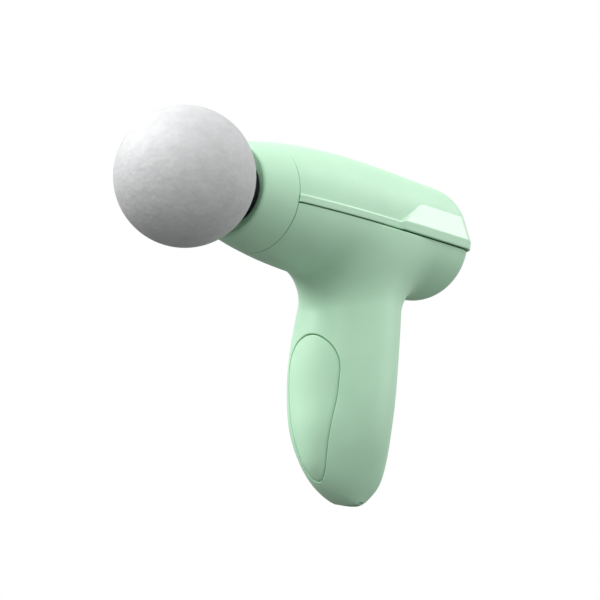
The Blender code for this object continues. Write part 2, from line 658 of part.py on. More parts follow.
clear_scene()
make_top_cover()
make_main_housing()
make_grip_pad()
make_nose_collar()
make_dust_seal()
make_ball()
make_stem()
make_o_ring()
make_plunger()
make_yoke()
make_bush("front_bush", 11.2, 19.8)
make_bush("rear_bush", 29.2, 37.8)
make_drive_frame()
make_frame_mounts()
make_motor()
make_crank()
make_battery()
make_electronics()
make_leads()
make_rear_control()
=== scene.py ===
"""Finish and outer surfaces of a hand-held massage gun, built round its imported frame.

Lengths in the shape functions are millimetres in the barrel frame: x runs along the barrel from the joint
between collar and shells towards the rear, z is up from the barrel's axis and the handle points down.
"""

import math

import bmesh
import bpy
import numpy as np
from mathutils import Matrix, Vector


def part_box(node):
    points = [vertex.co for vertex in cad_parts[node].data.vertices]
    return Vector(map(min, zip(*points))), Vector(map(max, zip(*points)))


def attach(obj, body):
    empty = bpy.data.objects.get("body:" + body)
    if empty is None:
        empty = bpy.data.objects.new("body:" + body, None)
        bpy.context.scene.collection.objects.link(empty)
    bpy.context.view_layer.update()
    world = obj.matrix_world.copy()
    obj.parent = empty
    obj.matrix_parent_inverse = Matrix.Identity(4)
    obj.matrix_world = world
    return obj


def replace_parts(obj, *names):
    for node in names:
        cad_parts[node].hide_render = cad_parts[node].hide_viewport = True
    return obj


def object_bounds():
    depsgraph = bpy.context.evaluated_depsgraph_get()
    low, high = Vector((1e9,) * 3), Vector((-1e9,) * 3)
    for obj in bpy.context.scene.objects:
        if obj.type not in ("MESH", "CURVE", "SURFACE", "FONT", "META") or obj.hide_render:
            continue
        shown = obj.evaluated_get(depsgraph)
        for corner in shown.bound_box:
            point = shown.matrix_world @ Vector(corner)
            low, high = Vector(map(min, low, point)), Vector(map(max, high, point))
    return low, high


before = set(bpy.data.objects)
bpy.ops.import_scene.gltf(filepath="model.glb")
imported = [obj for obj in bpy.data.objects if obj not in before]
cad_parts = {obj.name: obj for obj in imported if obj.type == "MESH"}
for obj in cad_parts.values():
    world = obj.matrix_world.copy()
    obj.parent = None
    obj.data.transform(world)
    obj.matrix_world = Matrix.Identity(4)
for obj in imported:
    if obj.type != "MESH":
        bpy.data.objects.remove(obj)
CAD_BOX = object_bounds()

MM = 0.001
COLLAR_LOW, COLLAR_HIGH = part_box("nose_collar")
COLLAR_FRONT = -15.6
JOINT = np.array([COLLAR_LOW.x - COLLAR_FRONT * MM, 0.0, (COLLAR_LOW.z + COLLAR_HIGH.z) / 2])

# Barrel radius against x, then the rounded rear end up to the hole for the bezel.
BARREL = np.array([(0.25, 20.42), (7, 21.38), (15, 22.25), (25, 22.98), (40, 23.45), (58, 23.3),
                   (76, 22.75), (93.1, 22.2)])
REAR_START, REAR_X, REAR_ROUND, REAR_FLAT, BEZEL_HOLE = 93.1, 105.5, 12.4, 9.8, 9.3

# Handle from foot to barrel: height, centre x, half depth along x, half width along y.
HANDLE = np.array([(-104.4, 64.1, 3.3, 5.5), (-104, 63.7, 4.9, 5.8), (-102.6, 62.8, 8.5, 6.6),
                   (-100, 61.7, 12.4, 8.5), (-96, 60.7, 16.1, 11.1), (-91, 59.3, 18.2, 13.7),
                   (-85, 57.8, 19.2, 16.3), (-77, 56.4, 19.8, 18.6), (-68, 55.8, 20.0, 20.0),
                   (-58, 55.5, 20.4, 20.4), (-47, 55.8, 20.2, 20.2), (-37, 56.5, 19.65, 19.65),
                   (-28, 57.1, 18.95, 18.95), (-20, 57.2, 18.4, 18.4), (-10, 57.2, 18.3, 18.3)])
HANDLE_X, HANDLE_R, FILLET = 57.2, 18.4, 12.5

# Grip pad: height and half width of its outline, from its top to its bottom.
PAD = np.array([(-44.2, 1.7), (-45.2, 4.7), (-47.4, 8.0), (-50.6, 10.5), (-55.1, 12.0), (-60.9, 12.0),
                (-66.3, 11.6), (-72.7, 10.5), (-77.8, 9.4), (-82.0, 8.3), (-86.3, 7.2), (-89.9, 6.1),
                (-93.0, 4.9), (-95.5, 3.3), (-97.2, 1.5)])

# Lowest and highest point of the upright line on which pad and recess close, heights that clear both, the
# gap between them, the recess's rounded lip, the depth of the pad's back, and of the recess's side and
# floor.
PAD_SPINE = (-91.5, -53.5)
PAD_LOW_Z, PAD_TOP_Z = -101.6, -40.0
PAD_GAP, PAD_LIP, PAD_BACK = 0.35, 0.45, 1.15
RECESS_SIDE, RECESS_FLOOR = (0.8, 1.2), 1.3

# Foot with the charging slot: its centre, how fast it rises sideways, and the slot's half width and half
# length.
FOOT_X, FOOT_Z, FOOT_CROWN, CROWN_HEIGHT = 64.2, -104.4, 0.015, 2.6
PORT_HALF_X, PORT_HALF_Y = 1.97, 4.83

# Lower edge of the cover and upper edge of the housing, the small round on both, the step from it into each
# shell, how thick the shells are and the share of that left behind the pad's recess.
COVER_Z, HOUSING_Z = -2.7, -3.0
LIP = 0.25
ROUND = np.radians((22, 45, 67, 90))
HOUSING_STEP, COVER_STEP = 0.9, 1.2
WALL, THIN_SHARE = 1.5, 0.25

# Ledge along the cover's lower edge and, behind the ramp, the wider bevelled shoulder: how far they stand
# out, their heights, where the ramp starts and ends, the share of it rounded at each end, and how far the
# bevel clears the ledge.
RAIL_OUT, RAIL_TOP = 0.7, -0.2
SHOULDER_OUT, SHOULDER_BAND, SHOULDER_TOP = 1.6, 0.7, 9.5
RAMP_START, RAMP_END = 53.6, 71.5
RAMP_ROUND = (0.06, 0.3)
BEVEL_UP = 0.45

BALL_X, BALL_R = -38.6, 25.0


# -------------------------------------------------------------------------------------------- shape helpers

def spline(knots, at):
    """Natural cubic spline: the smooth line whose value and slope run on through every (key, value...)
    knot."""
    keys, values = knots[:, 0], knots[:, 1:]
    step = np.diff(keys)
    count = len(keys)
    matrix, right = np.eye(count), np.zeros((count, values.shape[1]))
    i = np.arange(1, count - 1)
    matrix[i, i - 1], matrix[i, i], matrix[i, i + 1] = step[:-1], 2 * (step[:-1] + step[1:]), step[1:]
    slope = np.diff(values, axis=0) / step[:, None]
    right[1:-1] = 6 * np.diff(slope, axis=0)
    bend = np.linalg.solve(matrix, right)
    at = np.asarray(at, float)
    k = np.clip(np.searchsorted(keys, at) - 1, 0, count - 2)
    a = (keys[k + 1] - at) / step[k]
    b = 1 - a
    cubic = (a ** 3 - a)[..., None] * bend[k] + (b ** 3 - b)[..., None] * bend[k + 1]
    return a[..., None] * values[k] + b[..., None] * values[k + 1] + cubic * (step[k] ** 2)[..., None] / 6


def smoothstep(low, high, at):
    """Nought below low, one above high, and 3t^2 - 2t^3 between them."""
    t = np.clip((np.asarray(at, float) - low) / (high - low), 0, 1)
    return t * t * (3 - 2 * t)


def along(points):
    """Length along a line of points, from its start."""
    return np.concatenate([[0.0], np.cumsum(np.linalg.norm(np.diff(points, axis=0), axis=1))])


def unit(vectors):
    """Each vector divided by its length."""
    return vectors / np.maximum(np.linalg.norm(vectors, axis=-1, keepdims=True), 1e-12)


def rounded(corners, radii, steps=6):
    """A polyline with each corner replaced by a curve: the parabola that leaves one leg and joins the next
    a radius away from the corner."""
    corners = np.asarray(corners, float)
    t = np.linspace(0, 1, steps + 1)[:, None]
    out = [corners[:1]]
    for before, corner, after, radius in zip(corners, corners[1:], corners[2:], radii):
        start = corner + unit(before - corner) * min(radius, 0.49 * np.linalg.norm(before - corner))
        end = corner + unit(after - corner) * min(radius, 0.49 * np.linalg.norm(after - corner))
        out.append((1 - t) ** 2 * start + 2 * t * (1 - t) * corner + t * t * end if radius else corner[None])
    return np.concatenate(out + [corners[-1:]])


def spread(line, gap):
    """The same polyline with points added so that none are further apart than the gap."""
    parts = []
    for a, b in zip(line, line[1:]):
        count = max(1, math.ceil(np.linalg.norm(b - a) / gap))
        parts.append(a + (b - a) * np.arange(count)[:, None] / count)
    return np.concatenate(parts + [line[-1:]])


def grid_faces(rows, columns, wrap):
    """Quads of a grid of rows x columns, the last column joined to the first when wrap is set."""
    i, j = np.meshgrid(np.arange(rows - 1), np.arange(columns if wrap else columns - 1), indexing="ij")
    k = (j + 1) % columns
    corners = (i * columns + j, i * columns + k, (i + 1) * columns + k, (i + 1) * columns + j)
    return np.stack(corners, -1).reshape(-1, 4)


def piece(name, points, faces, material, body, merge=0.004, second=None, painted=None):
    """One object from points in the barrel frame, doubles merged and faces turned outwards. The painted
    faces, one flag for each, take the second material."""
    mesh = bpy.data.meshes.new(name)
    mesh.from_pydata(JOINT + np.asarray(points).reshape(-1, 3) * MM, [], faces.tolist())
    if second:
        mesh.polygons.foreach_set("material_index", painted.astype(np.int32))
    form = bmesh.new()
    form.from_mesh(mesh)
    bmesh.ops.remove_doubles(form, verts=form.verts, dist=merge * MM)
    bmesh.ops.dissolve_degenerate(form, edges=form.edges, dist=merge * MM)
    bmesh.ops.recalc_face_normals(form, faces=form.faces)
    form.to_mesh(mesh)
    form.free()
    mesh.polygons.foreach_set("use_smooth", np.ones(len(mesh.polygons), bool))
    for finish in filter(None, (material, second)):
        mesh.materials.append(finish)
    obj = bpy.data.objects.new(name, mesh)
    bpy.context.scene.collection.objects.link(obj)
    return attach(obj, body)


def revolved(name, profile, material, body, steps=160, gap=1.2):
    """A solid of revolution about the barrel's axis: each (radius, x) of a closed outline is carried round
    a circle."""
    line = spread(np.asarray(profile, float), gap)
    turn = np.linspace(0, 2 * np.pi, steps, endpoint=False)
    r, x = line[:, :1], line[:, 1:]
    points = np.stack(np.broadcast_arrays(x, r * np.cos(turn), r * np.sin(turn)), -1)
    return piece(name, points, grid_faces(len(line), steps, True), material, body)


# ------------------------------------------------------------------------------------------------ materials

def nodes_of(name):
    """A new material, its node tree and its shader."""
    material = bpy.data.materials.new(name)
    material.use_nodes = True
    tree = material.node_tree
    return material, tree, tree.nodes["Principled BSDF"]


def noise(tree, coordinates, scale, detail=2.0, roughness=0.5):
    """Cloudy pattern between nought and one, with scale clouds to the metre."""
    node = tree.nodes.new("ShaderNodeTexNoise")
    node.inputs["Scale"].default_value = scale
    node.inputs["Detail"].default_value = detail
    node.inputs["Roughness"].default_value = roughness
    tree.links.new(coordinates.outputs["Object"], node.inputs["Vector"])
    return node.outputs["Fac"]


def ranged(tree, value, low, high, start=0.3, end=0.7):
    """Low where the value is at start or below, high where it is at end or above, and a straight line
    between."""
    node = tree.nodes.new("ShaderNodeMapRange")
    for socket, number in (("From Min", start), ("From Max", end), ("To Min", low), ("To Max", high)):
        node.inputs[socket].default_value = number
    tree.links.new(value, node.inputs["Value"])
    return node.outputs["Result"]


def tinted(tree, value, low, high):
    """The low colour where the value is nought, the high colour where it is one."""
    node = tree.nodes.new("ShaderNodeMix")
    node.data_type = "RGBA"
    node.inputs["A"].default_value = (*low, 1)
    node.inputs["B"].default_value = (*high, 1)
    tree.links.new(value, node.inputs["Factor"])
    return node.outputs["Result"]


def bumped(tree, shader, heights, distance, strength=1.0):
    """Adds up the heights, each with its own share, and feeds them to the shader as relief."""
    total = None
    for value, share in heights:
        node = tree.nodes.new("ShaderNodeMath")
        node.operation = "MULTIPLY_ADD"
        node.inputs[1].default_value = share
        node.inputs[2].default_value = 0.0
        tree.links.new(value, node.inputs[0])
        if total is not None:
            tree.links.new(total, node.inputs[2])
        total = node.outputs[0]
    bump = tree.nodes.new("ShaderNodeBump")
    bump.inputs["Distance"].default_value = distance
    bump.inputs["Strength"].default_value = strength
    tree.links.new(total, bump.inputs["Height"])
    tree.links.new(bump.outputs["Normal"], shader.inputs["Normal"])


def moulded(name, colour, roughness, grain=0.000012, coat=0.0, metallic=0.0, scale=2600.0):
    """Plastic, rubber or metal: a faint cloudiness in its colour, uneven gloss and a fine grain of its
    mould."""
    shift = 0.03
    material, tree, shader = nodes_of(name)
    coordinates = tree.nodes.new("ShaderNodeTexCoord")
    clouds = ranged(tree, noise(tree, coordinates, 45.0, 3.0), 0.0, 1.0)
    darker = tuple(c * (1 - shift) for c in colour)
    lighter = tuple(min(1.0, c * (1 + shift)) for c in colour)
    tree.links.new(tinted(tree, clouds, darker, lighter), shader.inputs["Base Color"])
    gloss = ranged(tree, noise(tree, coordinates, 320.0, 2.0), roughness - 0.04, roughness + 0.04)
    tree.links.new(gloss, shader.inputs["Roughness"])
    bumped(tree, shader, [(noise(tree, coordinates, scale, 2.0), 1.0)], grain)
    shader.inputs["Metallic"].default_value = metallic
    shader.inputs["Coat Weight"].default_value = coat
    shader.inputs["Coat Roughness"].default_value = 0.12
    return material


def foam_skin(name):
    """Moulded foam skin: pebbled relief of rounded cells with shallow pits between them, and a dry satin
    finish."""
    material, tree, shader = nodes_of(name)
    coordinates = tree.nodes.new("ShaderNodeTexCoord")
    cells = tree.nodes.new("ShaderNodeTexVoronoi")
    cells.feature = "SMOOTH_F1"
    cells.inputs["Scale"].default_value = 620.0
    cells.inputs["Smoothness"].default_value = 0.7
    tree.links.new(coordinates.outputs["Object"], cells.inputs["Vector"])
    large = noise(tree, coordinates, 260.0, 3.0, 0.6)
    fine = noise(tree, coordinates, 1500.0, 2.0)
    tone = ranged(tree, large, 0.0, 1.0)
    colour = tinted(tree, tone, (0.535, 0.54, 0.545), (0.605, 0.61, 0.615))
    tree.links.new(colour, shader.inputs["Base Color"])
    tree.links.new(ranged(tree, fine, 0.5, 0.62), shader.inputs["Roughness"])
    bumped(tree, shader, [(cells.outputs["Distance"], -0.55), (large, 0.6), (fine, 0.2)], 0.00022, 0.75)
    shader.inputs["Specular IOR Level"].default_value = 0.45
    return material


MINT = (0.53, 0.845, 0.60)
SHELL = moulded("mint_shell", MINT, 0.42)
# Bevel: its low roughness and coat are its real polish, but its colour, lighter than the mint shell, is a
# painted highlight for the light it catches.
PAINTED_HIGHLIGHT_BEVEL = moulded("polished_bevel_painted_highlight", (0.62, 0.90, 0.68), 0.22, grain=0.000004, coat=0.6)
GRIP = moulded("soft_touch_grip", (0.53, 0.84, 0.595), 0.58, grain=0.00002, scale=1900.0)
FOAM = foam_skin("foam_skin")
SMOKE = moulded("smoke_plastic", (0.30, 0.31, 0.32), 0.4)
MINT_KEY = moulded("mint_button", MINT, 0.38)
RUBBER = moulded("black_rubber", (0.035, 0.036, 0.037), 0.7, grain=0.00002)
DIFFUSER = moulded("light_diffuser", (0.80, 0.84, 0.81), 0.3)
WHITE = moulded("white_acetal", (0.78, 0.78, 0.75), 0.38)
STEEL = moulded("ground_steel", (0.55, 0.55, 0.57), 0.28, metallic=1.0)
ALUMINIUM = moulded("cast_aluminium", (0.68, 0.69, 0.71), 0.38, grain=0.00003, metallic=1.0)
COPPER = moulded("enamelled_copper", (0.75, 0.34, 0.15), 0.35, grain=0.00005, metallic=1.0)
MAGNET = moulded("nickel_magnet", (0.20, 0.20, 0.21), 0.4, metallic=0.8)
BOARD = moulded("green_board", (0.02, 0.14, 0.06), 0.35, coat=0.5)
CHIP = moulded("chip_resin", (0.02, 0.02, 0.022), 0.45)
CELL = moulded("cell_wrap", (0.08, 0.24, 0.50), 0.3, coat=0.3)
BLACK = moulded("black_plastic", (0.025, 0.025, 0.026), 0.45)
RED = moulded("red_insulation", (0.55, 0.03, 0.02), 0.45)

INNER = {
    "drive_frame": ALUMINIUM, "plunger": ALUMINIUM, "motor_base": ALUMINIUM, "yoke": WHITE,
    "front_bush": WHITE, "rear_bush": WHITE, "motor_lead": WHITE, "yoke_pin": STEEL, "stator_core": STEEL,
    "motor_shaft": STEEL, "rotor_bell": STEEL, "motor_bearing": STEEL, "crank": STEEL, "frame_screw": STEEL,
    "motor_screw": STEEL, "usb_port": STEEL, "frame_grommet": RUBBER, "head_o_ring": RUBBER,
    "dust_seal": RUBBER, "stator_winding": COPPER, "rotor_magnets": MAGNET, "control_pcb": BOARD,
    "charge_pcb": BOARD, "tact_switch": CHIP, "controller_chip": CHIP, "driver_chip": CHIP, "led": DIFFUSER,
    "bulk_capacitor": SMOKE, "battery_cell": CELL, "battery_cap": BLACK, "battery_lead_plus": RED,
    "battery_lead_minus": BLACK, "head_stem": SMOKE,
}
for node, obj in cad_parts.items():
    for start, finish in INNER.items():
        if node.startswith(start):
            obj.data.materials.clear()
            obj.data.materials.append(finish)


# ---------------------------------------------------------------------------------------- barrel and handle

BODY_STEPS = 200


def meridian():
    """Outline of barrel from its front edge to the bezel hole, as a table: length along it, x, radius, and
    the outward direction in x and radius."""
    x = np.linspace(BARREL[0, 0], REAR_START, BODY_STEPS)
    body = np.stack([x, spline(BARREL, x)[:, 0]], -1)
    turn = np.linspace(0, np.pi / 2, 60)[1:]
    rear = np.stack([REAR_START + REAR_ROUND * np.sin(turn), REAR_FLAT + REAR_ROUND * np.cos(turn)], -1)
    face = np.array([(REAR_X, BEZEL_HOLE)])
    line = np.concatenate([body, rear, face])
    run = along(line)
    slope = unit(np.gradient(line, run, axis=0))
    return np.column_stack([run, line, -slope[:, 1], slope[:, 0]])


MERIDIAN = meridian()
BARREL_RUN = MERIDIAN[-1, 0]


def on_meridian(run):
    """x, radius and outward direction at a length along the barrel's outline."""
    return [np.interp(run, MERIDIAN[:, 0], MERIDIAN[:, k]) for k in (1, 2, 3, 4)]


def run_at(x):
    """Length along the barrel's outline at which it reaches x."""
    return np.interp(x, MERIDIAN[:-2, 1], MERIDIAN[:-2, 0])


def barrel_radius(x):
    """Radius of the barrel's plain body, in front of its rounded rear end."""
    return np.interp(x, MERIDIAN[:BODY_STEPS, 1], MERIDIAN[:BODY_STEPS, 2])


HANDLE_RUN = along(HANDLE[:, [0, 2]])
FINE_RUN = np.linspace(0, HANDLE_RUN[-1], 3000)
FINE = spline(np.column_stack([HANDLE_RUN, HANDLE]), FINE_RUN)


def handle_run_at(z):
    """Length along the handle's front outline at a height."""
    return np.interp(z, FINE[:, 0], FINE_RUN)


def handle_z_at(run):
    """Height at a length along the handle's front outline."""
    return np.interp(run, FINE_RUN, FINE[:, 0])


def handle_section(z):
    """Centre x, half depth and half width of the handle at a height."""
    return [np.interp(z, FINE[:, 0], FINE[:, k]) for k in (1, 2, 3)]


def handle_point(turn, z):
    """Point of the handle's skin at a height and an angle round its oval section, counted from its
    front."""
    centre, deep, wide = handle_section(z)
    return np.stack([centre - deep * np.cos(turn), wide * np.sin(turn), z + 0 * turn], -1)


def handle_turn(points):
    """The angle round the oval section of points on the handle's skin."""
    centre, deep, wide = handle_section(points[..., 2])
    return np.arctan2(points[..., 1] / wide, (centre - points[..., 0]) / deep)


def distance(points):
    """Signed distance to barrel and handle joined by a round fillet: with a and b the distances to the two
    and k the fillet's radius, max(k, min(a, b)) less the length of (k - a, k - b) where these are
    positive."""
    x, y, z = points[..., 0], points[..., 1], points[..., 2]
    out = np.hypot(y, z)
    a = out - barrel_radius(x)
    past = x > REAR_START
    a = np.where(past, np.hypot(x - REAR_START, np.maximum(out - REAR_FLAT, 0)) - REAR_ROUND, a)
    centre, deep, wide = handle_section(z)
    b = (np.hypot((x - centre) / deep, y / wide) - 1) * deep
    bridge = np.hypot(np.maximum(FILLET - a, 0), np.maximum(FILLET - b, 0))
    return np.maximum(FILLET, np.minimum(a, b)) - bridge


def settled(points, rounds=8):
    """Points moved on to the joined skin by Newton steps down the distance's own slope."""
    h = 0.02
    for _ in range(rounds):
        slope = np.stack([(distance(points + d) - distance(points - d)) / (2 * h) for d in np.eye(3) * h], -1)
        points = points - slope * (distance(points) / np.maximum((slope ** 2).sum(-1), 0.2))[..., None]
    return points


# --------------------------------------------------------------------------------------------- main housing

# Columns on each of the rim's four sides, and rows up the foot, along the grip pad, up the neck and out to
# the rim.
SIDES = 75
COLUMNS = 4 * SIDES
FOOT_ROWS, BLOCK_ROWS, NECK_ROWS, DECK_ROWS = 12, 52, 20, 44
# Half the angle round the handle that is left out of the grid for the grip pad's recess.
BLOCK_TURN = 0.95
# Barrel radius at which its skin is laid flat to spread the columns.
FLAT_RADIUS = 23.0


def housing_edge(inset):
    """Where each column of the housing ends: run and angle from straight down, round the rim of the lower
    barrel, and which side of the rim it is on: front, right, rear or left."""
    low, high = inset, BARREL_RUN - inset
    t = np.linspace(-1, 1, SIDES, endpoint=False)

    def top(run):
        _, radius, _, _ = on_meridian(run)
        return np.arccos(np.clip((-HOUSING_Z + inset) / radius, -1, 1))

    front = np.stack([np.full(SIDES, low), t * top(low)], -1)
    right_run = low + (high - low) * (t + 1) / 2
    right = np.stack([right_run, top(right_run)], -1)
    rear = np.stack([np.full(SIDES, high), -t * top(high)], -1)
    left_run = high - (high - low) * (t + 1) / 2
    left = np.stack([left_run, -top(left_run)], -1)
    side = np.repeat(np.arange(4), SIDES)
    return np.concatenate([front, right, rear, left]), side


def barrel_point(run, turn):
    """Point of the barrel's skin, with the angle counted from straight down."""
    x, radius, _, _ = on_meridian(run)
    return np.stack([x, radius * np.sin(turn), -radius * np.cos(turn)], -1)


def housing_columns():
    """Angle round the handle of each column, from its front, so that columns run to the rim without
    crossing: the direction from the handle to the column's end, on the barrel's skin laid flat."""
    rim, side = housing_edge(LIP)
    centre = run_at(HANDLE_X)
    return np.unwrap(np.arctan2(rim[:, 1] * FLAT_RADIUS, centre - rim[:, 0])), rim, side


def port_rim(turn, grow):
    """Outline of the charging slot: a stadium, long in y, at the angle of each column."""
    half_x, half_y = PORT_HALF_X + grow, PORT_HALF_Y + grow
    straight = half_y - half_x
    c, s = np.abs(np.cos(turn)), np.abs(np.sin(turn))
    reach_side = half_x / np.maximum(c, 1e-9)
    reach_end = straight * s + np.sqrt(np.maximum(half_x ** 2 - (straight * c) ** 2, 0))
    reach = np.where(reach_side * s <= straight, reach_side, reach_end)
    return np.stack([FOOT_X - reach * np.cos(turn), reach * np.sin(turn)], -1)


def pad_outline(count, grow):
    """Closed outline of the pad in (y, z), smooth through its knots and moved outwards all round. It starts
    at the top and runs down the +y side."""
    half = np.concatenate([[(PAD[0, 0] + 0.12, 0.0)], PAD, [(PAD[-1, 0] - 0.3, 0.0)]])
    ring = np.concatenate([half[:, ::-1], half[-2:0:-1, ::-1] * (-1, 1)])
    ring = np.concatenate([ring[-4:], ring, ring[:5]])
    run = along(ring)
    start, end = run[4], run[-5]
    at = np.linspace(start, end, count, endpoint=False)
    table = np.column_stack([run, ring])
    line = spline(table, at)
    ahead = spline(table, at + 0.01) - spline(table, at - 0.01)
    return line + unit(np.stack([-ahead[:, 1], ahead[:, 0]], -1)) * grow


def on_front(yz, out=0.0):
    """Point of the handle's front skin at (y, z), moved outwards by a depth."""
    z = yz[..., 1]
    centre, deep, wide = handle_section(z)
    share = np.clip(yz[..., 0] / (wide + out), -0.999, 0.999)
    return np.stack([centre - (deep + out) * np.sqrt(1 - share ** 2), yz[..., 0], z], -1)


def to_spine(line):
    """The point of the pad's upright middle line on which each point of an outline in (y, z) closes."""
    spine = line.copy()
    spine[:, 0] = 0.0
    spine[:, 1] = np.clip(spine[:, 1], *PAD_SPINE)
    return spine


def port_rows(turn):
    """Rows of the charging slot: its inner wall, then its rounded lip. The foot rises by its crown times y
    squared."""
    rows = []
    for grow, up in ((0.0, 2.6), (0.0, 0.5), (0.09, 0.15), (0.3, 0.0)):
        outline = port_rim(turn, grow)
        rows.append(np.column_stack([outline, FOOT_Z + up + FOOT_CROWN * outline[:, 1] ** 2]))
    return rows


def handle_rows(turn):
    """Rows up the handle in even steps along its outline, the foot's crown fading out above it."""
    low, top = handle_run_at(PAD_LOW_Z), handle_run_at(PAD_TOP_Z)
    runs = np.concatenate([np.linspace(0, low, FOOT_ROWS, endpoint=False), np.linspace(low, top, BLOCK_ROWS)])
    heights = handle_z_at(runs)[:, None]
    skin = handle_point(turn[None] + 0 * heights, heights)
    skin[..., 2] += FOOT_CROWN * skin[..., 1] ** 2 * np.clip(1 - (heights - FOOT_Z) / CROWN_HEIGHT, 0, 1) ** 2
    return list(skin)


def neck_rows(turn, rim, base):
    """Rows up the neck to where handle and barrel would meet, then out along the barrel to the rim, moved
    on to the joined skin."""
    meet_x, meet_y = HANDLE_X - HANDLE_R * np.cos(turn), HANDLE_R * np.sin(turn)
    meet_r = barrel_radius(meet_x)
    meet_z = -np.sqrt(meet_r ** 2 - meet_y ** 2)
    heights = base[:, 2] + (meet_z - base[:, 2]) * (np.arange(1, NECK_ROWS + 1) / NECK_ROWS)[:, None]
    neck = handle_point(turn[None] + 0 * heights, heights)
    start = np.stack([run_at(meet_x), np.arcsin(meet_y / meet_r)], -1)
    share = (np.arange(1, DECK_ROWS + 1) / DECK_ROWS)[:, None, None]
    path = start[None] + (rim - start)[None] * share
    deck = barrel_point(path[..., 0], path[..., 1])
    joined = settled(np.concatenate([neck, deck]))
    joined[-1] = deck[-1]
    return list(joined)


def rim_rows(skin, rim, side):
    """Rows over the rim: a quarter round from the skin's own direction to the direction out of the shell,
    then a step inwards."""
    _, _, nx, nr = on_meridian(rim[:, 0])
    normal = np.stack([nx, nr * np.sin(rim[:, 1]), -nr * np.cos(rim[:, 1])], -1)
    away = np.zeros_like(normal)
    away[side == 0] = (-1, 0, 0)
    away[(side == 1) | (side == 3)] = (0, 0, 1)
    rear = rim[side == 2, 1]
    away[side == 2] = np.stack([0 * rear, -np.sin(rear), np.cos(rear)], -1)
    away = unit(away - normal * (away * normal).sum(-1, keepdims=True))
    rows = [skin + LIP * (np.sin(angle) * away + (np.cos(angle) - 1) * normal) for angle in ROUND]
    return rows + [rows[-1] - HOUSING_STEP * normal]


def block_border(order, first, last):
    """Row and column of each grid point round the block, from its top middle down the +y side and round."""
    middle = len(order) // 2
    return ([(last, c) for c in order[middle:]] + [(r, order[-1]) for r in range(last - 1, first - 1, -1)]
            + [(first, c) for c in order[-2::-1]] + [(r, order[0]) for r in range(first + 1, last + 1)]
            + [(last, c) for c in order[1:middle]])


def recess_rings(border):
    """Rings from the block's border to the lip of the recess, closer together near it, over its quarter
    round, down its side and across its floor to the spine. Each border point keeps its own share of the way
    round the outline."""
    count = len(border)
    fine = count * 4
    share = along(np.concatenate([border[:, 1:], border[:1, 1:]]))
    pick = share[:-1] / share[-1] * count * 4
    k = np.floor(pick).astype(int) % fine
    part = (pick - np.floor(pick))[:, None]

    def outline_at(grow):
        line = pad_outline(fine, grow)
        return line[k] * (1 - part) + line[(k + 1) % fine] * part

    edge = on_front(outline_at(PAD_LIP))
    turn, run = handle_turn(edge), handle_run_at(edge[:, 2])
    turn_step, run_step = handle_turn(border) - turn, handle_run_at(border[:, 2]) - run
    rings = [border]
    for t in (1 - np.linspace(0, 1, 15)[1:]) ** 1.6:
        rings.append(handle_point(turn + turn_step * t, handle_z_at(run + run_step * t)))
    for angle in np.radians((18, 36, 54, 72, 90)):
        rings.append(on_front(outline_at(PAD_LIP * (1 - np.sin(angle))), -PAD_LIP * (1 - np.cos(angle))))
    floor = outline_at(0.0)
    rings += [on_front(floor, -depth) for depth in RECESS_SIDE]
    inwards = to_spine(floor) - floor
    rings += [on_front(floor + inwards * t, -RECESS_FLOOR) for t in (0.06, 0.25, 0.5, 0.75, 1.0)]
    return np.array(rings)


def make_housing():
    """Columns run from the charging slot in the foot up the handle, over the fillet and along the barrel to
    the rim of the lower shell. A block at the handle's front is left out and filled by rings round the grip
    pad."""
    turn, rim, side = housing_columns()
    rows = port_rows(turn)
    first = len(rows) + FOOT_ROWS
    last = first + BLOCK_ROWS - 1
    rows += handle_rows(turn)
    rows += neck_rows(turn, rim, rows[-1])
    rows += rim_rows(rows[-1], rim, side)
    points = np.array(rows)
    faces = grid_faces(len(rows), COLUMNS, True)

    ahead = (turn + np.pi) % (2 * np.pi) - np.pi
    block = np.flatnonzero(np.abs(ahead) <= BLOCK_TURN)
    order = block[np.argsort(ahead[block])]
    i, j = np.divmod(faces[:, 0], COLUMNS)
    inside = (i >= first) & (i < last) & np.isin(j, order) & np.isin((j + 1) % COLUMNS, order)
    rings = recess_rings(np.array([points[row, column] for row, column in block_border(order, first, last)]))
    ring_faces = grid_faces(len(rings), rings.shape[1], True)[:, ::-1] + points.size // 3
    everything = np.concatenate([points.reshape(-1, 3), rings.reshape(-1, 3)])
    obj = piece("housing_shell", everything, np.concatenate([faces[~inside], ring_faces]), SHELL, "housing")
    thin_behind_recess(obj, walled(obj))
    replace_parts(obj, "main_housing")


def walled(obj):
    """Gives an open skin its wall, inwards."""
    wall = obj.modifiers.new("Wall", "SOLIDIFY")
    wall.thickness = WALL * MM
    wall.offset = -1.0
    wall.use_rim = True
    return wall


def thin_behind_recess(obj, wall):
    """Thins the wall behind the grip pad's recess, whose sides would otherwise thicken out through the
    curved skin. The recess is what lies deeper than 0.03 under the handle's plain skin, well ahead of its
    middle."""
    spots = np.empty(len(obj.data.vertices) * 3)
    obj.data.vertices.foreach_get("co", spots)
    spots = (spots.reshape(-1, 3) - JOINT) / MM
    x, y, z = spots.T
    centre, deep, wide = handle_section(z)
    depth = (1 - np.hypot((x - centre) / deep, y / wide)) * deep
    sunk = (depth > 0.03) & (x < centre - 5) & (z > PAD_LOW_Z) & (z < PAD_TOP_Z - 1)
    group = obj.vertex_groups.new(name="wall")
    group.add(np.flatnonzero(~sunk).tolist(), 1.0, "REPLACE")
    group.add(np.flatnonzero(sunk).tolist(), THIN_SHARE, "REPLACE")
    wall.vertex_group = group.name


# ------------------------------------------------------------------------------------------------- grip pad

